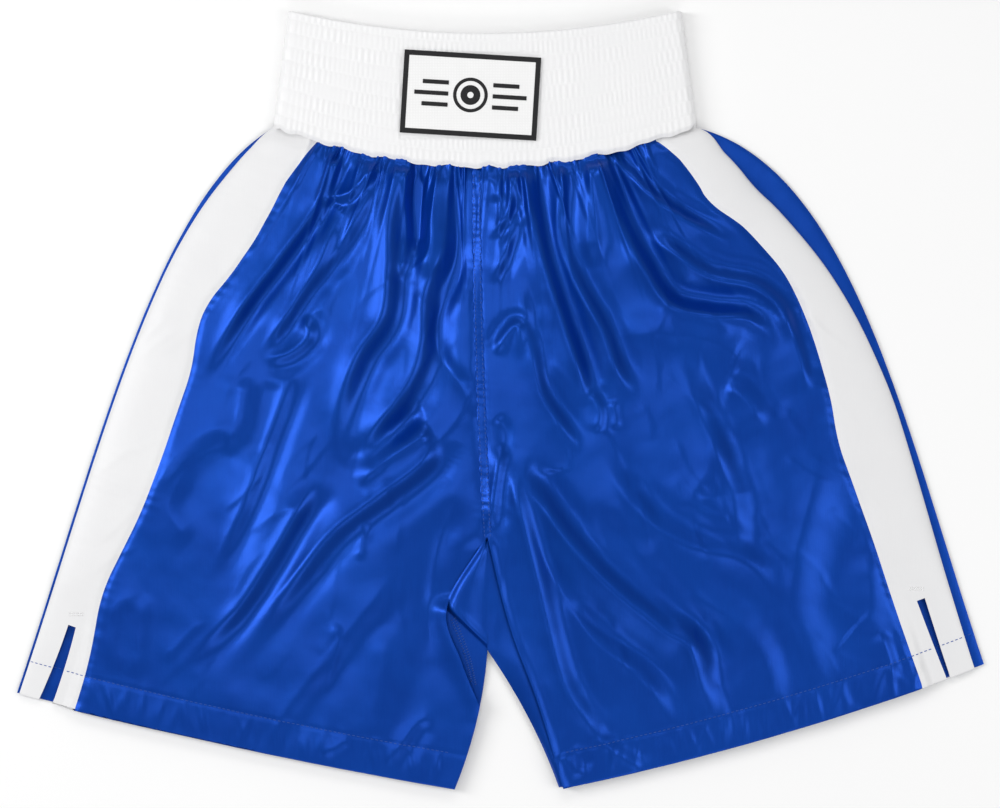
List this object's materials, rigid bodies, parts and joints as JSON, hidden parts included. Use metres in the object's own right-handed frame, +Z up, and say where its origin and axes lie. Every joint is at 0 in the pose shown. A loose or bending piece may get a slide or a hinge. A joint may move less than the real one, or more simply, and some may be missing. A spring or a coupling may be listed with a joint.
{
  "type": "boxing shorts",
  "caption": "Satin boxing shorts laid flat, with a wide elastic waistband, contrasting side stripes, vented hems and a crotch gusset.",
  "frame": {"origin": "middle of the outline of the shorts as they lie flat, on the surface they rest on", "axes": "+Z up out of the front cloth, +Y from the legs to the waistband, +X across the legs to the right as seen from the front"},
  "size_m": [0.7436, 0.5958, 0.0157],
  "materials": {
    "blue_satin": "glossy royal blue satin",
    "white_satin": "white satin",
    "elastic": "knitted elastic webbing",
    "woven_patch": "woven patch, white with a black border",
    "label": "smooth white label tape",
    "blue_thread": "polyester thread",
    "white_thread": "polyester thread"
  },
  "bodies": {
    "seat": {"waistband_cover": "white_satin", "waistband_elastic": "elastic", "waistband_patch": "woven_patch", "patch_stitching": "white_thread", "care_label": "label", "left_front_panel": "blue_satin", "right_front_panel": "blue_satin", "left_back_panel": "blue_satin", "right_back_panel": "blue_satin", "left_side_stripe": "white_satin", "right_side_stripe": "white_satin", "crotch_gusset": "blue_satin", "front_seam_stitching_left": "blue_thread", "front_seam_stitching_right": "blue_thread", "back_seam_stitching": "blue_thread"},
    "left_leg": {"left_front_panel_leg": "blue_satin", "left_back_panel_leg": "blue_satin", "left_side_stripe_leg": "white_satin", "left_gusset_leg": "blue_satin", "left_front_hem_stitching": "blue_thread", "left_back_hem_stitching": "blue_thread", "left_vent_tack": "white_thread"},
    "right_leg": {"right_front_panel_leg": "blue_satin", "right_back_panel_leg": "blue_satin", "right_side_stripe_leg": "white_satin", "right_gusset_leg": "blue_satin", "right_front_hem_stitching": "blue_thread", "right_back_hem_stitching": "blue_thread", "right_vent_tack": "white_thread"}
  },
  "joints": [
    {"name": "left_leg_fold", "type": "hinge", "parent": "seat", "child": "left_leg", "pos_m": [-0.01, -0.216, 0.015], "axis": [-0.9862, 0.1654, 0], "range_deg": [0, 165]},
    {"name": "right_leg_fold", "type": "hinge", "parent": "seat", "child": "right_leg", "pos_m": [-0.01, -0.216, 0.015], "axis": [-0.9766, -0.2152, 0], "range_deg": [0, 165]}
  ]
}
